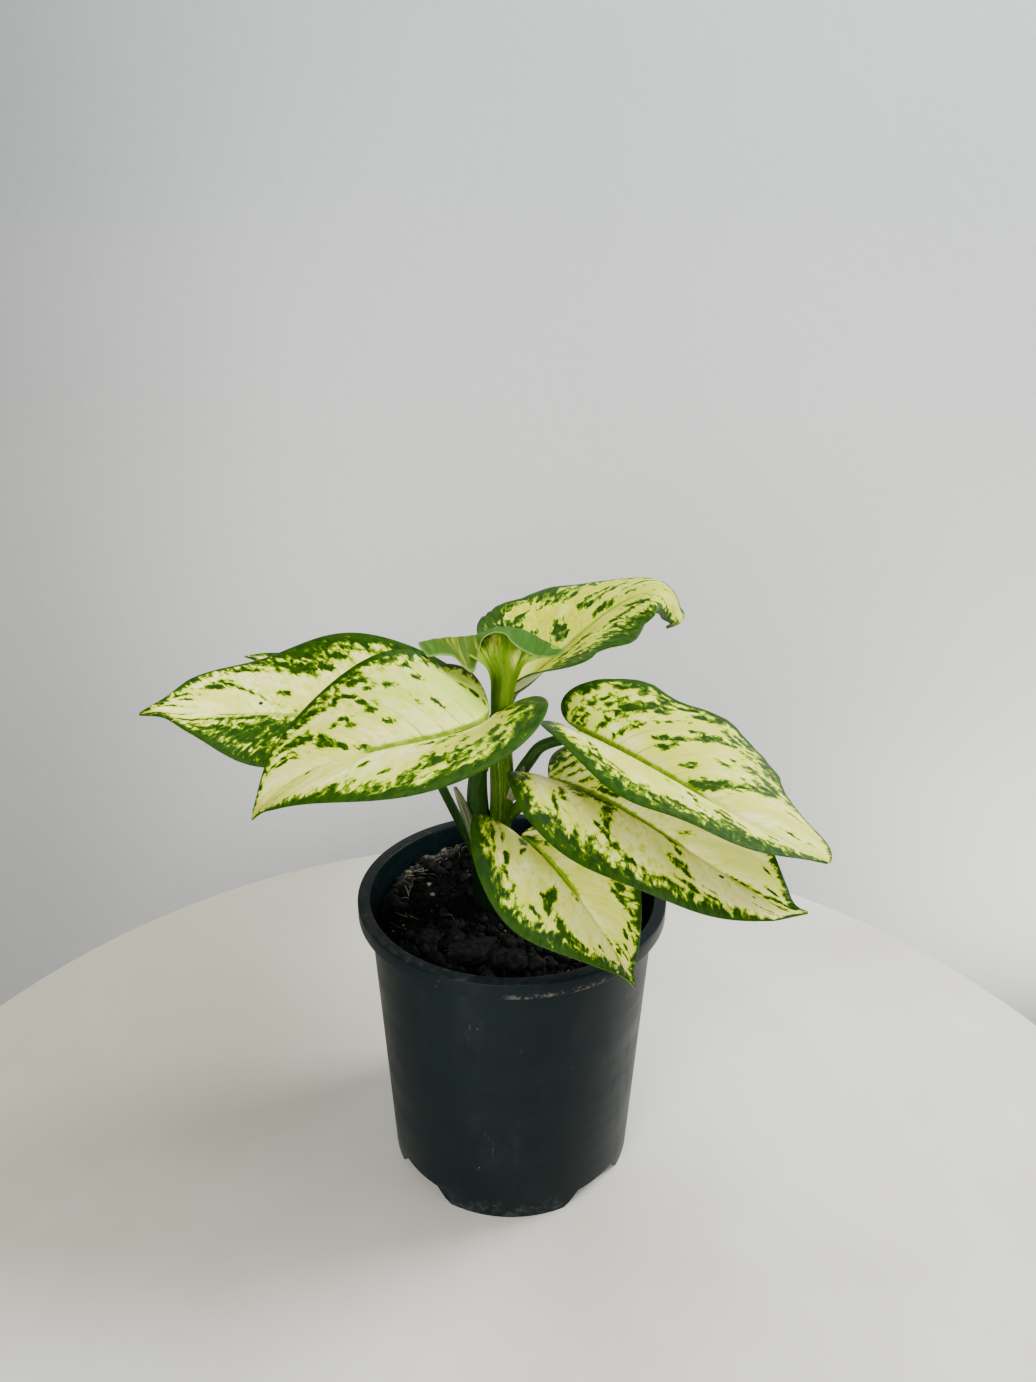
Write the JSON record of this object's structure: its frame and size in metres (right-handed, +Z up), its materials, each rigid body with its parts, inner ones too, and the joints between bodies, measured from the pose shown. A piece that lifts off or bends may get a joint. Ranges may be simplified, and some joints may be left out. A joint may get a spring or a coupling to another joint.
{
  "type": "potted house plant",
  "caption": "Variegated Chinese evergreen with cream and green leaves, rooted in soil in a round black plastic nursery pot",
  "frame": {"origin": "centre of the pot's underside, on its flat floor", "axes": "+Z is up along the pot's axis, -Y is the front of the plant, the side it is seen from, and +X is to the viewer's right"},
  "size_m": [0.2605, 0.168, 0.2433],
  "materials": {
    "pot": "satin",
    "soil": "rough",
    "stem": "satin",
    "clump_front": "rough",
    "clump_side": "rough",
    "clump_mid": "rough",
    "clump_back": "rough",
    "perlite_a": "matte",
    "perlite_b": "matte",
    "prill": "satin",
    "bark": "satin",
    "leaf_left": "satin",
    "leaf_far_left": "satin",
    "leaf_back_left": "satin",
    "leaf_top_right": "satin",
    "leaf_right": "satin",
    "leaf_right_low": "satin",
    "leaf_front": "satin",
    "leaf_young": "satin",
    "petiole_left": "satin",
    "petiole_young": "satin",
    "petiole_far_left": "satin",
    "petiole_back_left": "satin",
    "petiole_top_right": "satin",
    "petiole_right": "satin",
    "petiole_right_low": "satin",
    "petiole_front": "satin",
    "sheath_dry": "matte",
    "sheath_pale": "matte"
  },
  "bodies": {
    "root": {"pot": "pot", "soil": "soil", "stem": "stem", "clump_front": "clump_front", "clump_side": "clump_side", "clump_mid": "clump_mid", "clump_back": "clump_back", "perlite_a": "perlite_a", "perlite_b": "perlite_b", "prill": "prill", "bark": "bark", "leaf_left": "leaf_left", "leaf_far_left": "leaf_far_left", "leaf_back_left": "leaf_back_left", "leaf_top_right": "leaf_top_right", "leaf_right": "leaf_right", "leaf_right_low": "leaf_right_low", "leaf_front": "leaf_front", "leaf_young": "leaf_young", "petiole_left": "petiole_left", "petiole_young": "petiole_young", "petiole_far_left": "petiole_far_left", "petiole_back_left": "petiole_back_left", "petiole_top_right": "petiole_top_right", "petiole_right": "petiole_right", "petiole_right_low": "petiole_right_low", "petiole_front": "petiole_front", "sheath_dry": "sheath_dry", "sheath_pale": "sheath_pale"}
  },
  "joints": []
}
